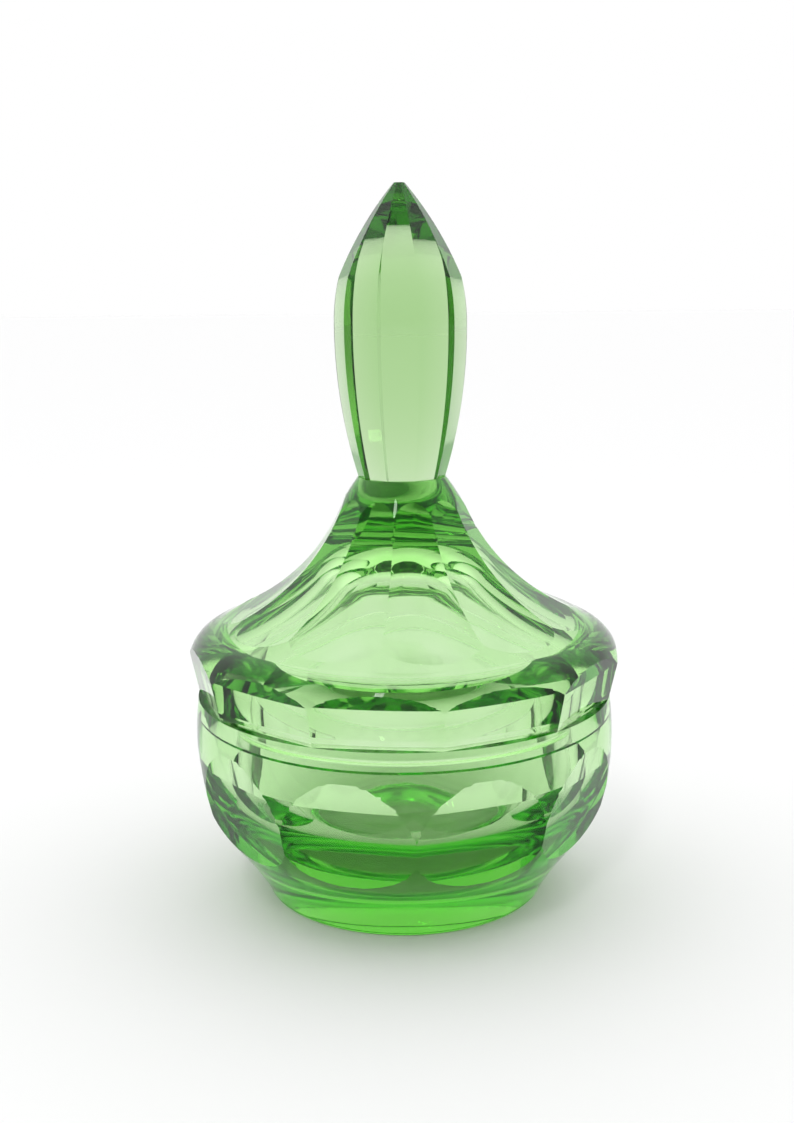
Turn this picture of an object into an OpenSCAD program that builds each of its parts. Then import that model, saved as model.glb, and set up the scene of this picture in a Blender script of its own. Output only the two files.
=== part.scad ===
// Covered powder jar in clear green glass, cut and polished by hand.
// Three pieces: the bowl, the lid with its locating flange, and the
// spindle-shaped finial that is cemented to the top of the lid.
// The origin is the centre of the underside of the foot, +Z is up and -Y is
// the front.

/* [Bowl] */
// Height of the bowl from the table to the seat of the lid
bowl_h = 53.3; // [44:0.1:64]
// Radius of the bowl at its rim
rim_r = 53.8; // [44.8:0.1:64.6]
// Distance of the foot's edge in from the rim
foot_in = 16.9; // [14:0.1:20]
// Distance of the flare's top in from the rim
flare_in = 9.2; // [7.6:0.1:10]
// Height of the foot's flare
flare_h = 12.7; // [10.6:0.1:15]
// Hollow of the foot's flare
flare_hollow = 0.33; // [0.1:0.01:0.6]
// Distance of the waist in from the rim, where the round of the belly starts
waist_in = 5.9; // [5:0.1:7]
// Height of the waist
waist_h = 16.9; // [15.2:0.1:20]
// Distance in from the rim, where the upright part of the belly starts
belly_in = 0.3; // [0.1:0.1:0.4]
// Height where the upright part of the belly starts
belly_h = 28; // [24:0.5:33.5]
// Swell of the round part of the belly
waist_swell = 0.72; // [0.4:0.02:1]
// Swell of the upright part of the belly over its height
belly_swell = 1; // [0.5:0.1:1.5]
// Size of the rounding of the foot's lower edge
foot_round = 0.9; // [0.4:0.1:1.5]

/* [Inside of the bowl] */
// Thickness of the wall of the bowl at the belly
bowl_wall = 8.5; // [7.1:0.1:10.2]
// Width ground off the inside of the wall at the mouth
mouth_relief = 1; // [0.5:0.1:1.5]
// Width of the small slope under the ground mouth
mouth_step = 0.8; // [0.3:0.1:1.2]
// Thickness of the solid glass under the inside floor
floor_t = 14.5; // [12:0.1:17.5]
// Radius of the flat part of the inside floor
floor_r = 14; // [11.6:0.1:17]
// Height of the foot of the inside wall, as a share of the upright belly
wall_share = 0.36; // [0.3:0.01:0.5]

/* [Oval cuts of the bowl] */
// Number of ovals ground round the bowl
ovals = 10; // [8:1:12]
// Height of the lowest point of an oval
oval_low = 17.4; // [17.2:0.1:20]
// Distance of the highest point of an oval below the rim
oval_down = 7.7; // [6.8:0.1:10]
// Swell of the ground face of an oval over its height
oval_swell = 0.3; // [0.1:0.05:0.5]
// Turn of the first oval from the front
oval_turn = 20.5; // [0:0.1:36]

/* [Lid] */
// Height of the lid from its seat to the foot of the finial
lid_h = 55.9; // [46.5:0.1:67.1]
// Number of panels on the roof, and of faces round the rim
panels = 11; // [9:1:13]
// Overhang of the round shoulder past the rim of the bowl
shoulder_out = 2.3; // [1.5:0.1:3]
// Height of the widest place above the seat
shoulder_up = 8.4; // [7:0.1:10]
// Distance of the seat's outer edge in from the widest place
seat_edge_in = 1.5; // [1:0.1:2]
// Swell of the shoulder below its widest place
side_swell = 0.3; // [0.1:0.05:0.5]
// Distance of the eave in from the bowl's rim, where the shoulder meets the roof
eave_in = 4.3; // [3.5:0.1:5.2]
// Height of the eave above the seat
eave_up = 17.55; // [15.5:0.05:21]
// Swell of the shoulder between its widest place and the roof
shoulder_swell = 1.8; // [1.4:0.1:2.4]
// Hollow of the roof before its panels are cut
roof_hollow = 2.3; // [1.8:0.1:2.8]
// Radius of the polished face that carries the finial
neck_r = 11.3; // [9.4:0.1:13.6]
// Width of the round collar beyond the neck
collar_out = 7.6; // [6.4:0.1:9]
// Height of the round collar
collar_h = 13.2; // [11:0.1:15.8]
// Swell of the collar over its height
collar_swell = 0.45; // [0.2:0.05:1]
// Radius of the wheel that hollows the roof panels, seen from the side
panel_wheel_r = 52; // [43:0.1:62.4]
// Depth of a roof panel under the collar
panel_in_depth = 0.6; // [0.3:0.05:1.2]
// Depth of a roof panel at the eave
panel_out_depth = 0.7; // [0.4:0.05:1.2]
// Height of a roof panel over the eave
panel_out_up = 0.65; // [0.3:0.05:1]
// Distance of a rim cut in from the bowl's rim, at the widest place
rim_cut_in = 0.3; // [0:0.05:1]
// Lean of a rim cut from upright, in degrees
rim_lean = 12; // [4:0.5:14]
// Turn of the lid in the bowl, measured at a roof panel
lid_turn = 9.2; // [0:0.1:36]

/* [Inside of the lid] */
// Clearance between the flange of the lid and the mouth of the bowl
flange_gap = 0.35; // [0.1:0.05:0.8]
// Depth of the flange below the seat
flange_drop = 5.8; // [4.8:0.1:7]
// Thickness of the flange
flange_t = 3.4; // [2.8:0.1:4.1]
// Size of the rounding of the flange's lower edges
flange_round = 0.8; // [0.3:0.1:1.2]
// Room between the flange and the step in the mouth
flange_room = 0.8; // [0.4:0.1:1.5]
// Gap left by the grinding marks between seat and rim
seat_gap = 0.05; // [0.02:0.01:0.2]
// Thickness of glass over the top of the hollow
crown_t = 22.5; // [18.7:0.5:27]
// Radius of the round top of the hollow
dome_r = 24; // [20:0.5:28]
// Angle from the axis to the edge of the round top, in degrees
dome_angle = 50; // [42:1:55]
// Distance of the hollow's eave in from the inside of the flange
hollow_eave_in = 0.75; // [0.5:0.05:2]
// Height of the hollow's eave above the seat
hollow_eave_up = 8.6; // [7.2:0.1:9.5]
// Swell of the upright side of the hollow
hollow_side_swell = 0.4; // [0.2:0.05:0.6]
// Swell of the hollow between its eave and its round top
vault_swell = 1.5; // [1:0.1:2]

/* [Finial] */
// Height of the finial
finial_h = 72.8; // [60.6:0.1:87.4]
// Distance from the axis to a face at the widest place
finial_face = 15.9; // [13.3:0.1:19]
// Height of the widest place above the finial's foot
finial_wide_up = 40; // [33:0.5:48]
// Width of the neck of the lid left bare round the finial's foot
foot_bare = 0.7; // [0.6:0.1:2]
// Swell of a face between the foot and the widest place
finial_low_swell = 1.5; // [1:0.1:2]
// Height over which a face starts to lean in above the widest place
shoulder_rise = 10; // [8:0.5:12]
// Lean of a face over that height
shoulder_lean = 1.3; // [1:0.1:1.8]
// Swell of a face over that height
finial_shoulder_swell = 0.25; // [0.1:0.05:0.4]
// Swell of a face between there and the tip
finial_top_swell = 1; // [0.5:0.1:1.5]
// Distance from the axis to a face at the polished tip
tip_face = 1.3; // [1:0.1:2.2]
// Number of faces round the finial
faces = 10; // [8:2:12]
// Thickness of the cement under the finial
cement_t = 0.05; // [0.02:0.01:0.1]
// Turn of the finial on the lid, measured at a face
finial_turn = -2; // [-18:0.1:18]

/* [Hidden] */
$fn = 160;
arc_steps = 8;
wheel_sides = 360;
past = 1;                   // how far a cutting outline runs past the glass
round_sag = 0.25;           // sag of a rounded edge for each unit of its size
rim = [rim_r, bowl_h];
belly = [rim_r - belly_in, belly_h];
waist = [rim_r - waist_in, waist_h];
flare = [rim_r - flare_in, flare_h];
foot_r = rim_r - foot_in;
mouth_r = belly.x - bowl_wall + mouth_relief;
mouth_h = bowl_h - flange_drop - flange_room;
floor_edge = [floor_r, floor_t];
wall_foot = [belly.x - bowl_wall, belly_h + wall_share * (bowl_h - belly_h)];
oval_high = bowl_h - oval_down;
flange_r = mouth_r - flange_gap;
hollow_r = flange_r - flange_t;
seat_h = bowl_h + seat_gap;
flange_h = seat_h - flange_drop;
seat_edge = [rim_r + shoulder_out - seat_edge_in, seat_h];
shoulder = [rim_r + shoulder_out, seat_h + shoulder_up];
eave = [rim_r - eave_in, seat_h + eave_up];
neck_h = seat_h + lid_h;
neck = [neck_r, neck_h];
collar = [neck_r + collar_out, neck_h - collar_h];
hollow_eave = [hollow_r - hollow_eave_in, seat_h + hollow_eave_up];
dome_top = [0, neck_h - crown_t];
dome_edge = dome_top + dome_r * [sin(dome_angle), cos(dome_angle) - 1];
dome_sag = dome_r * (1 - cos(dome_angle / 2));
reach = 2 * shoulder.x;     // longer than any cut

// Radius and centre of the arc from p to q; sag is its rise over the chord,
// positive where the arc bulges to the right of the way from p to q
function arc_radius(p, q, sag) = pow(norm(q - p), 2) / (8 * sag) + sag / 2;
function arc_centre(p, q, sag) =
    let (dir = (q - p) / norm(q - p))
    (p + q) / 2 - [dir.y, -dir.x] * (arc_radius(p, q, sag) - sag);

// Points of that arc from p to q, without q
function arc_to(p, q, sag) =
    let (
        dir = (q - p) / norm(q - p),
        side = [dir.y, -dir.x],
        half = 2 * atan(2 * sag / norm(q - p))
    )
    [for (i = [0 : arc_steps - 1])
        let (a = half * (2 * i / arc_steps - 1))
        arc_centre(p, q, sag) + arc_radius(p, q, sag) * (side * cos(a) + dir * sin(a))];

// Rise of an arc that leaves p level and climbs to q
function level_sag(p, q) =
    let (chord = norm(q - p), radius = chord * chord / (2 * (q.y - p.y)))
    radius - sqrt(radius * radius - chord * chord / 4);

// Distance from the axis of an arc at a height
function arc_at(p, q, sag, h) =
    let (centre = arc_centre(p, q, sag), radius = arc_radius(p, q, sag))
    centre.x + sqrt(radius * radius - pow(h - centre.y, 2));

// Point of the bowl's outside at a height above its waist
function belly_at(h) = [
    h < belly_h ? arc_at(waist, belly, waist_swell, h) : arc_at(belly, rim, belly_swell, h),
    h
];

// Outline of the bowl's outside, from the axis round the foot to the rim
function bowl_outside() =
    let (under = [foot_r - foot_round, 0], side = [foot_r, foot_round])
    concat(
        [[0, 0]],
        arc_to(under, side, round_sag * foot_round),
        arc_to(side, flare, -flare_hollow),
        [flare],
        arc_to(waist, belly, waist_swell),
        arc_to(belly, rim, belly_swell),
        [rim, [0, bowl_h]]
    );

// Outline of the bowl's hollow, from its floor to past the rim
function bowl_inside() = concat(
    [[0, floor_t]],
    arc_to(floor_edge, wall_foot, level_sag(floor_edge, wall_foot)),
    [wall_foot, [mouth_r - mouth_step, mouth_h - mouth_step], [mouth_r, mouth_h],
     [mouth_r, bowl_h + past], [0, bowl_h + past]]
);

// Turns an outline round the axis
module turned(outline) {
    rotate_extrude() polygon(outline);
}

// Repeats a cut round the axis, starting at a turn from the front
module around(count, turn) {
    for (i = [0 : count - 1])
        rotate([0, 0, turn + i * 360 / count - 90]) children();
}

// A flat grinding face of a given size about a point of the outline, leaning
// out from upright: everything beyond it is cut off
module flat_face(at, lean, size) {
    translate([at.x, 0, at.y])
        rotate([0, lean, 0])
            translate([0, -size / 2, -size / 2])
                cube(size);
}

// The face that grinds one oval, swelling slightly between its ends:
// everything beyond it is cut off
module oval_face(low, high) {
    chord = norm(high - low);
    middle = (low + high) / 2;
    wheel = chord * chord / (8 * oval_swell) + oval_swell / 2;
    translate([middle.x, 0, middle.y])
        rotate([0, atan((high.x - low.x) / (high.y - low.y)), 0])
            difference() {
                translate([0, -reach / 2, -chord])
                    cube([reach, reach, 2 * chord]);
                translate([oval_swell - wheel, 0, 0])
                    rotate([90, 0, 0])
                        cylinder(r = wheel, h = 2 * reach, center = true, $fn = wheel_sides);
            }
}

module bowl() {
    low = belly_at(oval_low);
    high = belly_at(oval_high);
    color([0.62, 0.84, 0.5])
        difference() {
            turned(bowl_outside());
            turned(bowl_inside());
            around(ovals, oval_turn) oval_face(low, high);
        }
}

// Outline of the lid before it is cut, from the flange to the neck
function lid_outside() =
    let (inner = flange_r - flange_round, side = [flange_r, flange_h + flange_round])
    concat(
        [[0, flange_h]],
        arc_to([inner, flange_h], side, round_sag * flange_round),
        [side, [flange_r, seat_h]],
        arc_to(seat_edge, shoulder, side_swell),
        arc_to(shoulder, eave, shoulder_swell),
        arc_to(eave, collar, -roof_hollow),
        arc_to(collar, neck, collar_swell),
        [neck, [0, neck_h]]
    );

// Outline of the hollow under the lid
function lid_inside() =
    let (
        low = [hollow_r + flange_round, flange_h],
        side = [hollow_r, flange_h + flange_round],
        wall_top = [hollow_r, seat_h + past]
    )
    concat(
        [[0, flange_h - past], [low.x, flange_h - past]],
        arc_to(low, side, -round_sag * flange_round),
        [side],
        arc_to(wall_top, hollow_eave, hollow_side_swell),
        arc_to(hollow_eave, dome_edge, -vault_swell),
        arc_to(dome_edge, dome_top, dome_sag),
        [dome_top]
    );

// The wheel that hollows one roof panel
module panel_wheel() {
    inner = collar - [panel_in_depth, 0];
    outer = eave + [-panel_out_depth, panel_out_up];
    chord = norm(outer - inner);
    dir = (outer - inner) / chord;
    away = sqrt(panel_wheel_r * panel_wheel_r - chord * chord / 4);
    centre = (inner + outer) / 2 + [-dir.y, dir.x] * away;
    translate([centre.x, 0, centre.y])
        rotate([90, 0, 0])
            cylinder(r = panel_wheel_r, h = reach, center = true, $fn = wheel_sides);
}

module lid() {
    color([0.5, 0.78, 0.38])
        difference() {
            turned(lid_outside());
            turned(lid_inside());
            around(panels, lid_turn) panel_wheel();
            around(panels, lid_turn + 180 / panels)
                flat_face(shoulder - [shoulder_out + rim_cut_in, 0], rim_lean, reach);
        }
}

// Half of the finial's side outline, from its foot to its tip
function finial_side() =
    let (
        foot = [neck_r - foot_bare, 0],
        wide = [finial_face, finial_wide_up],
        bend = wide + [-shoulder_lean, shoulder_rise],
        tip = [tip_face, finial_h]
    )
    concat(
        arc_to(foot, wide, finial_low_swell),
        arc_to(wide, bend, finial_shoulder_swell),
        arc_to(bend, tip, finial_top_swell),
        [tip]
    );

// One pair of opposite faces, longer than the finial is wide
module finial_pair() {
    half = finial_side();
    mirrored = [for (i = [len(half) - 1 : -1 : 0]) [-half[i].x, half[i].y]];
    rotate([90, 0, 0])
        linear_extrude(4 * finial_face, center = true)
            polygon(concat(half, mirrored));
}

module finial() {
    color([0.66, 0.86, 0.56])
        translate([0, 0, neck_h + cement_t])
            intersection_for (i = [0 : faces / 2 - 1])
                rotate([0, 0, finial_turn + i * 360 / faces - 90]) finial_pair();
}

bowl();
lid();
finial();
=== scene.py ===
"""Looks of the covered powder jar: a bowl, a lid and a spindle finial.

All three are cut from clear green glass.
"""

import logging
import math
from dataclasses import dataclass
from enum import Enum
from typing import Union

import bpy
from mathutils import Matrix, Vector

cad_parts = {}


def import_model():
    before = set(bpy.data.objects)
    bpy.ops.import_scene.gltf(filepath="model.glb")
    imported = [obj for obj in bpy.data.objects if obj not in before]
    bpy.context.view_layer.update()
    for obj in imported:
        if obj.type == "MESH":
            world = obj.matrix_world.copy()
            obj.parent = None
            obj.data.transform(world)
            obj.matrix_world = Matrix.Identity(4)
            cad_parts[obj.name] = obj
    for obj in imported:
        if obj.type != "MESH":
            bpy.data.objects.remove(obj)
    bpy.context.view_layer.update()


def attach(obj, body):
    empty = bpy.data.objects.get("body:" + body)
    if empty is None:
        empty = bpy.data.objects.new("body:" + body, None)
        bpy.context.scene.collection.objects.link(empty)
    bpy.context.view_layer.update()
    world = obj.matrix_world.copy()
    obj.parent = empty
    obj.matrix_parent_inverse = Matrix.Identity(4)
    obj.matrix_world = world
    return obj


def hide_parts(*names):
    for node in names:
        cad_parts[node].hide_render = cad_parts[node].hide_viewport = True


log = logging.getLogger("powder_jar")

MM = 0.001
MERGE_SPUN = 1e-6
MERGE_CUT = 2e-6


# ---------------------------------------------------------------------------
# Shader maths
# ---------------------------------------------------------------------------


class Sum(Enum):
    """The kinds of sum that a Math node does for a Value."""

    ADD = "ADD"
    SUBTRACT = "SUBTRACT"
    MULTIPLY = "MULTIPLY"
    DIVIDE = "DIVIDE"
    POWER = "POWER"


class Value:
    """A socket that carries one number. Python's operators stand for Math nodes."""

    def __init__(self, tree: "Shader", socket: bpy.types.NodeSocket) -> None:
        """Wraps a socket.

        Args:
            tree: the shader that the socket's node is part of.
            socket: the output socket.
        """
        self.tree = tree
        self.socket = socket

    def _math(self, kind: Sum, *values: "Number") -> "Value":
        """Adds one Math node and returns its output."""
        return self.tree.add(
            "ShaderNodeMath", {"operation": kind.value}, dict(enumerate(values))
        )

    def __add__(self, other: "Number") -> "Value":
        """Sum."""
        return self._math(Sum.ADD, self, other)

    def __radd__(self, other: "Number") -> "Value":
        """Sum, with the number first."""
        return self._math(Sum.ADD, other, self)

    def __sub__(self, other: "Number") -> "Value":
        """Difference."""
        return self._math(Sum.SUBTRACT, self, other)

    def __rsub__(self, other: "Number") -> "Value":
        """Difference, with the number first."""
        return self._math(Sum.SUBTRACT, other, self)

    def __mul__(self, other: "Number") -> "Value":
        """Product."""
        return self._math(Sum.MULTIPLY, self, other)

    def __rmul__(self, other: "Number") -> "Value":
        """Product, with the number first."""
        return self._math(Sum.MULTIPLY, other, self)

    def __truediv__(self, other: "Number") -> "Value":
        """Quotient."""
        return self._math(Sum.DIVIDE, self, other)

    def __pow__(self, other: "Number") -> "Value":
        """Power."""
        return self._math(Sum.POWER, self, other)

    def rise(self, start: float, end: float) -> "Value":
        """A mask that goes smoothly from 0 to 1.

        Args:
            start: the value at which the mask is 0.
            end: the value at which it is 1. It may be below start.

        Returns:
            The mask.
        """
        low, high = min(start, end), max(start, end)
        mask = self.tree.add(
            "ShaderNodeMapRange",
            {"interpolation_type": "SMOOTHSTEP"},
            {"Value": self, "From Min": low, "From Max": high},
        )
        return mask if start < end else 1 - mask

    def within(self, low: float, high: float, soft: float) -> "Value":
        """A mask that is 1 from low to high and fades to 0 over soft outside them."""
        return self.rise(low - soft, low) * self.rise(high + soft, high)


Number = Union[Value, float, int]


class Shader:
    """The nodes of one material or of the world."""

    def __init__(self, owner: Union[bpy.types.Material, bpy.types.World]) -> None:
        """Empties the owner's node tree and keeps its output node.

        Args:
            owner: the material or the world that is to be built.
        """
        owner.use_nodes = True
        self.nodes = owner.node_tree.nodes
        self.links = owner.node_tree.links
        self.nodes.clear()
        world = isinstance(owner, bpy.types.World)
        kind = "ShaderNodeOutputWorld" if world else "ShaderNodeOutputMaterial"
        self.output = self.nodes.new(kind)

    def add(
        self,
        kind: str,
        settings: dict[str, object] | None = None,
        inputs: dict[Union[str, int], object] | None = None,
        output: Union[str, int] = 0,
    ) -> Value:
        """Adds one node.

        Args:
            kind: the node's type name.
            settings: properties of the node, which are set before its sockets.
            inputs: values or links of its input sockets, by name or number.
            output: the output socket that is returned.

        Returns:
            The wrapped output socket.
        """
        node = self.nodes.new(kind)
        for name, value in (settings or {}).items():
            setattr(node, name, value)
        for name, value in (inputs or {}).items():
            self.feed(node.inputs[name], value)
        return Value(self, node.outputs[output])

    def feed(self, socket: bpy.types.NodeSocket, value: object) -> None:
        """Links a wrapped socket to an input, or sets the input to a plain value."""
        if isinstance(value, Value):
            self.links.new(value.socket, socket)
        else:
            socket.default_value = value

    def finish(self, inputs: dict[str, Value]) -> None:
        """Links shaders to the sockets of the output node."""
        for name, value in inputs.items():
            self.feed(self.output.inputs[name], value)

    def place(self) -> tuple[Value, Value, Value]:
        """The Object coordinates of the shaded point, in metres: x, y and z."""
        found = self.add("ShaderNodeTexCoord", output="Object")
        split = self.add("ShaderNodeSeparateXYZ", inputs={0: found})
        outputs = split.socket.node.outputs
        return tuple(Value(self, outputs[i]) for i in range(3))

    def stretched(self, scale: tuple[float, float, float]) -> Value:
        """The Object coordinates, each times its own number."""
        found = self.add("ShaderNodeTexCoord", output="Object")
        return self.add("ShaderNodeMapping", inputs={"Vector": found, "Scale": scale})


# ---------------------------------------------------------------------------
# Finishes
# ---------------------------------------------------------------------------


@dataclass(frozen=True)
class GroundRing:
    """A ring of glass that is ground and not polished. Sizes are in metres."""

    low: float
    high: float
    inner: float
    roughness: float = 0.12
    soft: float = 0.05 * MM

    def mask(self, away: Value, z: Value) -> Value:
        """A mask that is 1 on the ring.

        Args:
            away: the distance from the axis.
            z: the height.

        Returns:
            The mask.
        """
        upright = z.within(self.low, self.high, self.soft)
        return upright * away.rise(self.inner - 2 * self.soft, self.inner)


@dataclass(frozen=True)
class GreenGlass:
    """Clear green glass, ground where pieces fit together, worn where it stands."""

    name: str
    # Light taken per metre of glass is (1 - tint) * density
    tint: tuple[float, float, float] = (0.297, 0.792, 0.010)
    density: float = 38.4
    ior: float = 1.55
    # Share of the light that glass reflects head-on which this glass reflects
    mirror: float = 0.4
    # Strength and depth of the waves and lines that the wheels leave
    striae: float = 0.03
    depth: float = 0.1 * MM
    wave_scale: tuple[float, float, float] = (55, 55, 90)
    wave_share: float = 0.8
    line_scale: tuple[float, float, float] = (60, 60, 1400)
    # Faint smears on the polish
    smear_scale: tuple[float, float, float] = (900, 900, 900)
    smear: float = 0.02
    # Ground rings, and scratches below a height where the stand wears
    ground: tuple[GroundRing, ...] = ()
    worn_below: float = 0.0
    scratch_scale: tuple[float, float, float] = (2200, 2200, 300)
    scratch: float = 0.3

    @staticmethod
    def noise(
        shader: Shader, scale: tuple[float, float, float], detail: float
    ) -> Value:
        """Adds a noise on the Object coordinates.

        Args:
            shader: the shader that the noise is added to.
            scale: the number of waves to the metre along x, y and z.
            detail: the Noise node's detail.

        Returns:
            The noise, from 0 to 1.
        """
        return shader.add(
            "ShaderNodeTexNoise",
            inputs={"Vector": shader.stretched(scale), "Detail": detail},
        )

    def build(self) -> bpy.types.Material:
        """Makes the material.

        Returns:
            The material, with its glass in Surface and its tint in Volume.
        """
        material = bpy.data.materials.new(self.name)
        shader = Shader(material)
        x, y, z = shader.place()
        away = (x * x + y * y) ** 0.5

        # Slow waves of the hand polish, and the fine lines of the wheel
        waves = self.noise(shader, self.wave_scale, 1.5)
        lines = self.noise(shader, self.line_scale, 2.0)
        relief = waves * self.wave_share + lines * (1 - self.wave_share)

        smears = self.noise(shader, self.smear_scale, 4.0).rise(0.62, 0.8)
        roughness = smears * self.smear
        for ring in self.ground:
            roughness = roughness + ring.mask(away, z) * ring.roughness
        if self.worn_below:
            scratches = self.noise(shader, self.scratch_scale, 3.0).rise(0.45, 0.65)
            worn = z.rise(self.worn_below, 0) * scratches
            roughness = roughness + worn * self.scratch

        bump = shader.add(
            "ShaderNodeBump",
            inputs={
                "Strength": self.striae,
                "Distance": self.depth,
                "Height": relief,
            },
        )
        glass = shader.add(
            "ShaderNodeBsdfPrincipled",
            inputs={
                "Base Color": (1, 1, 1, 1),
                "Transmission Weight": 1.0,
                "IOR": self.ior,
                "Specular Tint": (self.mirror, self.mirror, self.mirror, 1),
                "Roughness": roughness,
                "Normal": bump,
            },
        )
        volume = shader.add(
            "ShaderNodeVolumeAbsorption",
            inputs={"Color": (*self.tint, 1), "Density": self.density},
        )
        shader.finish({"Surface": glass, "Volume": volume})
        return material


@dataclass(frozen=True)
class PaleFloor:
    """A plain pale matt surface."""

    name: str = "pale_floor"
    shade: float = 0.86
    roughness: float = 0.8
    grain_scale: tuple[float, float, float] = (40, 40, 40)
    grain_share: float = 0.2
    grain_dark: tuple[float, float, float] = (0.02, 0.02, 0.01)

    def build(self) -> bpy.types.Material:
        """Makes the material and returns it."""
        material = bpy.data.materials.new(self.name)
        shader = Shader(material)
        grain = shader.add(
            "ShaderNodeTexNoise", inputs={"Vector": shader.stretched(self.grain_scale)}
        )
        colour = shader.add(
            "ShaderNodeMix",
            {"data_type": "RGBA"},
            {
                0: grain * self.grain_share,
                6: (self.shade, self.shade, self.shade, 1),
                7: (*(self.shade - less for less in self.grain_dark), 1),
            },
            output=2,
        )
        paint = shader.add(
            "ShaderNodeBsdfPrincipled",
            inputs={
                "Base Color": colour,
                "Roughness": self.roughness,
            },
        )
        shader.finish({"Surface": paint})
        return material


# ---------------------------------------------------------------------------
# Modelling
# ---------------------------------------------------------------------------


class Outline:
    """The side outline of a turned piece.

    Its points are distances from the axis and heights, in millimetres.
    """

    def __init__(self, start: tuple[float, float], step: float = 0.8) -> None:
        """Starts the outline.

        Args:
            start: the first point.
            step: the longest piece of an arc.
        """
        self.points = [Vector(start)]
        self.step = step

    def line(self, *ends: tuple[float, float]) -> "Outline":
        """Adds straight lines to each of the points in turn."""
        self.points += [Vector(end) for end in ends]
        return self

    def arc(self, end: tuple[float, float], sag: float) -> "Outline":
        """Adds an arc.

        Args:
            end: where the arc ends.
            sag: its rise over the chord, positive where it bulges to the right of
                the way.

        Returns:
            The outline itself.
        """
        first, last = self.points[-1], Vector(end)
        chord = (last - first).length
        along = (last - first) / chord
        side = Vector((along.y, -along.x))
        radius = chord * chord / (8 * sag) + sag / 2
        centre = (first + last) / 2 - side * (radius - sag)
        half = 2 * math.atan(2 * sag / chord)
        count = max(3, math.ceil(chord / self.step), math.ceil(abs(math.degrees(half))))
        for i in range(1, count + 1):
            turn = half * (2 * i / count - 1)
            self.points.append(
                centre + radius * (side * math.cos(turn) + along * math.sin(turn))
            )
        return self

    def level_arc(self, end: tuple[float, float]) -> "Outline":
        """Adds an arc that leaves the last point level and climbs to its end."""
        first, last = self.points[-1], Vector(end)
        chord = (last - first).length
        radius = chord * chord / (2 * (last.y - first.y))
        return self.arc(end, radius - math.sqrt(radius * radius - chord * chord / 4))


def towards(azimuth: float) -> Vector:
    """The level direction at an azimuth in degrees: 0 is the front, and 90 is +X."""
    turn = math.radians(azimuth)
    return Vector((math.sin(turn), -math.cos(turn), 0))


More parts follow.
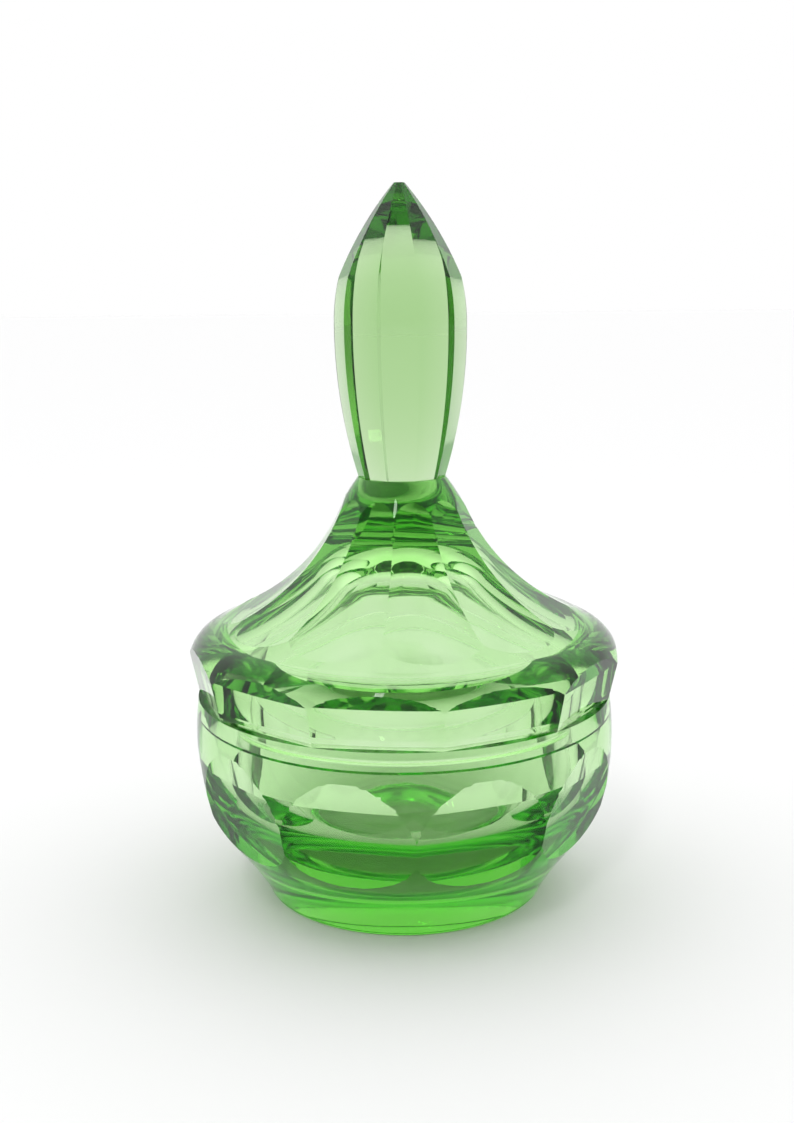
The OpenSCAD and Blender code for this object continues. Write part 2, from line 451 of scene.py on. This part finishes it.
class Bench:
    """The workbench: what is done by hand with a selection, as small steps."""

    @staticmethod
    def clear() -> None:
        """Leaves edit mode and deselects everything."""
        if bpy.context.mode != "OBJECT":
            bpy.ops.object.mode_set(mode="OBJECT")
        bpy.ops.object.select_all(action="DESELECT")

    @staticmethod
    def take(piece: bpy.types.Object) -> None:
        """Makes a piece the only selected and active one."""
        Bench.clear()
        piece.select_set(True)
        bpy.context.view_layer.objects.active = piece

    @staticmethod
    def turned(
        name: str, outline: Outline, steps: int, azimuth: float = 0.0
    ) -> bpy.types.Object:
        """Spins an outline about the axis and closes the flat ends.

        Args:
            name: the name of the piece.
            outline: the side outline. It may start or end on the axis.
            steps: the number of sides.
            azimuth: the turn of the first edge from the front.

        Returns:
            The piece, a closed mesh in metres with its normals outwards.
        """
        Bench.clear()
        bpy.ops.mesh.primitive_plane_add(size=MM, enter_editmode=True)
        piece = bpy.context.object
        piece.name = piece.data.name = name
        bpy.ops.mesh.select_all(action="SELECT")
        bpy.ops.mesh.merge(type="CENTER")
        side = towards(azimuth)
        here = Vector((0, 0, 0))
        for i, point in enumerate(outline.points):
            there = (side * point.x + Vector((0, 0, point.y))) * MM
            if i == 0:
                bpy.ops.transform.translate(value=there)
            else:
                bpy.ops.mesh.extrude_vertices_move(
                    TRANSFORM_OT_translate={"value": there - here}
                )
            here = there
        bpy.ops.mesh.select_all(action="SELECT")
        bpy.ops.mesh.spin(
            steps=steps, angle=2 * math.pi, center=(0, 0, 0), axis=(0, 0, 1)
        )
        bpy.ops.mesh.select_all(action="SELECT")
        bpy.ops.mesh.remove_doubles(threshold=MERGE_SPUN)
        bpy.ops.mesh.fill_holes(sides=0)
        bpy.ops.mesh.select_all(action="SELECT")
        bpy.ops.mesh.normals_make_consistent(inside=False)
        bpy.ops.object.mode_set(mode="OBJECT")
        return piece

    @staticmethod
    def grind_flat(piece: bpy.types.Object, point: Vector, normal: Vector) -> None:
        """Grinds a flat face: what lies beyond a plane goes, and the cut is closed.

        Args:
            piece: the piece that is ground.
            point: a point of the plane, in metres.
            normal: the direction that looks away from the glass that stays.
        """
        Bench.take(piece)
        bpy.ops.object.mode_set(mode="EDIT")
        bpy.ops.mesh.select_all(action="SELECT")
        bpy.ops.mesh.bisect(
            plane_co=point, plane_no=normal, use_fill=True, clear_outer=True
        )
        bpy.ops.object.mode_set(mode="OBJECT")

    @staticmethod
    def grind_hollow(
        piece: bpy.types.Object,
        centre: Vector,
        radius: float,
        azimuth: float,
        width: float,
        sides: int,
    ) -> None:
        """Grinds a hollow face with a wheel that stands across an azimuth.

        Args:
            piece: the piece that is ground.
            centre: the middle of the wheel, in metres.
            radius: the radius of the wheel.
            azimuth: the direction of the face from the axis, in degrees.
            width: the width of the wheel.
            sides: the number of sides of the wheel's round.
        """
        Bench.clear()
        bpy.ops.mesh.primitive_cylinder_add(
            vertices=sides,
            radius=radius,
            depth=width,
            location=centre,
            rotation=(math.radians(90), 0, math.radians(azimuth + 90)),
        )
        wheel = bpy.context.object
        Bench.take(piece)
        cut = piece.modifiers.new("cut", "BOOLEAN")
        cut.operation, cut.solver, cut.object = "DIFFERENCE", "EXACT", wheel
        bpy.ops.object.modifier_apply(modifier=cut.name)
        bpy.data.objects.remove(wheel)

    @staticmethod
    def close(piece: bpy.types.Object, crease: float) -> None:
        """Merges doubles, points the faces outwards and smooths between creases.

        Args:
            piece: the piece.
            crease: the angle in degrees from which an edge stays sharp.
        """
        Bench.take(piece)
        bpy.ops.object.mode_set(mode="EDIT")
        bpy.ops.mesh.select_all(action="SELECT")
        bpy.ops.mesh.remove_doubles(threshold=MERGE_CUT)
        bpy.ops.mesh.normals_make_consistent(inside=False)
        bpy.ops.object.mode_set(mode="OBJECT")
        bpy.ops.object.shade_smooth_by_angle(angle=math.radians(crease))


@dataclass
class Bowl:
    """The bowl, with its solid foot and ten ovals ground round its belly.

    Sizes are in millimetres.
    """

    finish: GreenGlass
    height: float = 53.3
    rim_r: float = 53.8
    belly: tuple[float, float] = (53.5, 28.0)
    belly_swell: float = 1.0
    waist: tuple[float, float] = (47.9, 16.9)
    waist_swell: float = 0.72
    flare: tuple[float, float] = (44.6, 12.7)
    foot_r: float = 36.9
    flare_hollow: float = 0.33
    foot_round: float = 0.9
    foot_round_sag: float = 0.225
    wall: float = 8.5
    wall_up: float = 9.1
    mouth_r: float = 46.0
    mouth_h: float = 46.7
    mouth_step: float = 0.8
    floor: tuple[float, float] = (14.0, 14.5)
    ovals: int = 10
    oval_low: tuple[float, float] = (48.31, 17.4)
    oval_high: tuple[float, float] = (54.56, 45.6)
    oval_turn: float = 20.5
    steps: int = 300
    crease: float = 3.0

    def outline(self) -> Outline:
        """The side outline from the edge of the underside to the mouth's step."""
        r = self.foot_round
        return (
            Outline((self.foot_r - r, 0))
            .arc((self.foot_r, r), self.foot_round_sag)
            .arc(self.flare, -self.flare_hollow)
            .line(self.waist)
            .arc(self.belly, self.waist_swell)
            .arc((self.rim_r, self.height), self.belly_swell)
            .line(
                (self.mouth_r, self.height),
                (self.mouth_r, self.mouth_h),
                (self.mouth_r - self.mouth_step, self.mouth_h - self.mouth_step),
            )
        )

    def build(self) -> bpy.types.Object:
        """Turns, grinds and dresses the bowl, and returns it."""
        outline = self.outline()
        inside = Outline(self.floor)
        inside.level_arc((self.belly[0] - self.wall, self.belly[1] + self.wall_up))
        outline.points += reversed(inside.points)
        piece = Bench.turned("bowl_glass", outline, self.steps)
        low, high = self.oval_low, self.oval_high
        slope = (high[0] - low[0]) / (high[1] - low[1])
        for i in range(self.ovals):
            side = towards(self.oval_turn + i * 360 / self.ovals)
            Bench.grind_flat(
                piece,
                (side * low[0] + Vector((0, 0, low[1]))) * MM,
                side - Vector((0, 0, slope)),
            )
        Bench.close(piece, self.crease)
        piece.data.materials.append(self.finish.build())
        return piece


@dataclass
class Lid:
    """The lid, with its flange, eleven flat rim cuts and eleven hollow roof panels.

    Sizes are in millimetres, and those whose names end in up count from the seat.
    """

    finish: GreenGlass
    seat_h: float = 53.35
    height: float = 55.9
    panels: int = 11
    shoulder: tuple[float, float] = (56.1, 8.4)
    seat_edge_in: float = 1.5
    side_swell: float = 0.3
    eave: tuple[float, float] = (49.5, 17.55)
    shoulder_swell: float = 1.8
    roof_hollow: float = 2.3
    collar_r: float = 18.9
    collar_h: float = 13.2
    collar_swell: float = 0.45
    neck_r: float = 11.3
    wheel_r: float = 52.0
    wheel_width: float = 100.0
    wheel_sides: int = 720
    quick_wheel_sides: int = 240
    panel_in: float = 18.3
    panel_out: float = 48.8
    panel_out_up: float = 18.2
    rim_cut: float = 53.5
    rim_lean: float = 12.0
    turn: float = 9.2
    flange_r: float = 45.65
    flange_drop: float = 5.8
    flange_round: float = 0.8
    flange_round_sag: float = 0.16
    flange_t: float = 3.4
    crown_t: float = 22.5
    dome_r: float = 24.0
    dome_angle: int = 50
    dome_step: int = 2
    hollow_eave_r: float = 41.5
    hollow_eave_up: float = 8.6
    hollow_side_swell: float = 0.4
    hollow_wall_up: float = 1.0
    vault_swell: float = 1.5
    steps: int = 300
    quick_steps: int = 120
    crease: float = 3.0

    @property
    def neck_h(self) -> float:
        """Height of the polished face that carries the finial."""
        return self.seat_h + self.height

    def outline(self) -> Outline:
        """The side outline from the top of the hollow, by the flange, to the neck."""
        seat = self.seat_h
        hollow_r = self.flange_r - self.flange_t
        top = self.neck_h - self.crown_t
        dome = []
        for angle in range(0, self.dome_angle + 1, self.dome_step):
            turn = math.radians(angle)
            dome.append(
                (self.dome_r * math.sin(turn), top - self.dome_r * (1 - math.cos(turn)))
            )
        outline = Outline(dome[0]).line(*dome[1:])
        outline.arc(
            (self.hollow_eave_r, seat + self.hollow_eave_up), self.vault_swell
        )
        outline.arc((hollow_r, seat + self.hollow_wall_up), self.hollow_side_swell)
        low = seat - self.flange_drop
        edge, sag = self.flange_round, self.flange_round_sag
        outline.line((hollow_r, low + edge)).arc((hollow_r + edge, low), sag)
        outline.line((self.flange_r - edge, low)).arc((self.flange_r, low + edge), sag)
        outline.line((self.flange_r, seat))
        outline.line((self.shoulder[0] - self.seat_edge_in, seat))
        outline.arc((self.shoulder[0], seat + self.shoulder[1]), self.side_swell)
        outline.arc((self.eave[0], seat + self.eave[1]), self.shoulder_swell)
        outline.arc((self.collar_r, self.neck_h - self.collar_h), -self.roof_hollow)
        outline.arc((self.neck_r, self.neck_h), self.collar_swell)
        return outline

    def build(self) -> bpy.types.Object:
        """Turns, grinds and dresses the lid, and returns it."""
        steps = self.steps
        sides = self.wheel_sides
        piece = Bench.turned("lid_glass", self.outline(), steps)
        slope = math.tan(math.radians(self.rim_lean))
        inner = Vector((self.panel_in, self.neck_h - self.collar_h))
        outer = Vector((self.panel_out, self.seat_h + self.panel_out_up))
        along = (outer - inner).normalized()
        away = math.sqrt(self.wheel_r**2 - (outer - inner).length_squared / 4)
        middle = (inner + outer) / 2 + Vector((-along.y, along.x)) * away
        for i in range(self.panels):
            azimuth = self.turn + i * 360 / self.panels
            side = towards(azimuth)
            Bench.grind_hollow(
                piece,
                (side * middle.x + Vector((0, 0, middle.y))) * MM,
                self.wheel_r * MM,
                azimuth,
                self.wheel_width * MM,
                sides,
            )
        cut_h = self.seat_h + self.shoulder[1]
        for i in range(self.panels):
            side = towards(self.turn + (i + 0.5) * 360 / self.panels)
            Bench.grind_flat(
                piece,
                (side * self.rim_cut + Vector((0, 0, cut_h))) * MM,
                side - Vector((0, 0, slope)),
            )
        Bench.close(piece, self.crease)
        piece.data.materials.append(self.finish.build())
        return piece


@dataclass
class Finial:
    """The spindle finial with ten long faces, cemented to the neck of the lid.

    Sizes are in millimetres, and face, foot and tip count from the axis to a face.
    """

    finish: GreenGlass
    low_h: float = 109.3
    height: float = 72.8
    face: float = 15.9
    wide_up: float = 40.0
    foot: float = 10.6
    low_swell: float = 1.5
    shoulder_rise: float = 10.0
    shoulder_lean: float = 1.3
    shoulder_swell: float = 0.25
    tip: float = 1.3
    top_swell: float = 1.0
    faces: int = 10
    turn: float = -2.0
    crease: float = 10.0

    def outline(self) -> Outline:
        """The side outline at an edge between two faces."""
        corner = 1 / math.cos(math.pi / self.faces)
        wide = (self.face, self.low_h + self.wide_up)
        bend = (wide[0] - self.shoulder_lean, wide[1] + self.shoulder_rise)
        side = (
            Outline((self.foot, self.low_h))
            .arc(wide, self.low_swell)
            .arc(bend, self.shoulder_swell)
            .arc((self.tip, self.low_h + self.height), self.top_swell)
        )
        for point in side.points:
            point.x *= corner
        return side

    def build(self) -> bpy.types.Object:
        """Turns and dresses the finial, and returns it."""
        piece = Bench.turned(
            "finial_glass", self.outline(), self.faces, self.turn + 180 / self.faces
        )
        Bench.close(piece, self.crease)
        piece.data.materials.append(self.finish.build())
        return piece


# ---------------------------------------------------------------------------
# Studio
# ---------------------------------------------------------------------------


@dataclass
class Studio:
    """The pale floor, the soft light and the camera. Sizes are in metres."""

    floor_half: float = 6.0
    floor_gap: float = 0.1 * MM
    lens: float = 44.9
    pitch: float = 11.5
    roll: float = -0.6
    camera_at: tuple[float, float, float] = (-0.00146, -0.3567, 0.1594)
    lamp_at: tuple[float, float, float] = (-0.24, -0.82, 1.05)
    lamp_size: tuple[float, float] = (0.10, 0.30)
    lamp_watts: float = 1.6
    # How much brighter the room is overhead, and how much darker in front
    overhead: float = 0.5
    overhead_from: float = 0.15
    overhead_to: float = 0.9
    front_shade: float = 0.75
    front_to: float = -0.7
    # How often light may turn inside the glass
    bounces: int = 40
    glossy_bounces: int = 24
    clear_bounces: int = 16

    def lay_floor(self) -> bpy.types.Object:
        """Lays the floor just under the foot of the jar and returns it."""
        Bench.clear()
        bpy.ops.mesh.primitive_plane_add(
            size=2 * self.floor_half, location=(0, 0, -self.floor_gap)
        )
        floor = bpy.context.object
        floor.name = "floor"
        floor.data.materials.append(PaleFloor().build())
        return floor

    def light(self) -> None:
        """Fills the room with white light, brighter overhead and darker in front."""
        world = bpy.data.worlds.new("studio")
        bpy.context.scene.world = world
        shader = Shader(world)
        found = shader.add("ShaderNodeTexCoord", output="Generated")
        split = shader.add("ShaderNodeSeparateXYZ", inputs={0: found})
        y = Value(shader, split.socket.node.outputs[1])
        z = Value(shader, split.socket.node.outputs[2])
        above = z.rise(self.overhead_from, self.overhead_to)
        in_front = y.rise(0.0, self.front_to)
        strength = 1.0 + above * self.overhead - in_front * self.front_shade
        sky = shader.add(
            "ShaderNodeBackground", inputs={"Color": (1, 1, 1, 1), "Strength": strength}
        )
        shader.finish({"Surface": sky})

    def hang_lamp(self) -> None:
        """Hangs one soft lamp over the camera, for the sheen on the cut faces."""
        data = bpy.data.lights.new("soft_lamp", "AREA")
        data.shape = "RECTANGLE"
        data.size, data.size_y = self.lamp_size
        data.energy = self.lamp_watts
        lamp = bpy.data.objects.new("soft_lamp", data)
        bpy.context.scene.collection.objects.link(lamp)
        aim = Vector((0, 0, 0.1)) - Vector(self.lamp_at)
        turn = aim.to_track_quat("-Z", "Y").to_matrix().to_4x4()
        lamp.matrix_world = Matrix.Translation(self.lamp_at) @ turn

    def set_camera(self) -> None:
        """Stands the camera in front of the jar."""
        data = bpy.data.cameras.new("camera")
        data.lens, data.sensor_width, data.sensor_fit = self.lens, 36, "AUTO"
        data.clip_start, data.clip_end = 0.01, 50
        camera = bpy.data.objects.new("camera", data)
        bpy.context.scene.collection.objects.link(camera)
        camera.matrix_world = (
            Matrix.Translation(self.camera_at)
            @ Matrix.Rotation(math.radians(90 - self.pitch), 4, "X")
            @ Matrix.Rotation(math.radians(self.roll), 4, "Z")
        )
        bpy.context.scene.camera = camera

    def build(self) -> None:
        """Sets up the whole studio."""
        scene = bpy.context.scene
        scene.view_settings.view_transform = "Standard"
        scene.cycles.max_bounces = self.bounces
        scene.cycles.transmission_bounces = self.bounces
        scene.cycles.glossy_bounces = self.glossy_bounces
        scene.cycles.transparent_max_bounces = self.clear_bounces
        self.lay_floor()
        self.light()
        self.hang_lamp()
        self.set_camera()


def main() -> None:
    """Builds the jar around the frame, piece by piece, and the studio round it."""
    logging.basicConfig(level=logging.INFO, format="%(name)s: %(message)s")
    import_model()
    bowl_glass = GreenGlass(
        "bowl_glass",
        ground=(GroundRing(53.2 * MM, 53.35 * MM, 45.9 * MM),),
        worn_below=1.5 * MM,
    )
    lid_glass = GreenGlass(
        "lid_glass",
        tint=(0.28, 0.74, 0.0),
        ground=(GroundRing(53.3 * MM, 53.4 * MM, 45.7 * MM),),
    )
    finial_glass = GreenGlass("finial_glass", tint=(0.27, 0.66, 0.0), ior=1.6)
    parts = (
        (Bowl(bowl_glass), "bowl", "bowl", "bowl_glass"),
        (Lid(lid_glass), "lid", "lid", "lid_glass"),
        (Finial(finial_glass), "finial", "lid", "finial_glass"),
    )
    for part, node, body, slot in parts:
        piece = part.build()
        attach(piece, body)
        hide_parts(node)
        log.info("%s: %d faces on body %s", piece.name, len(piece.data.polygons), body)
    Studio().build()


if __name__ == "__main__":
    main()
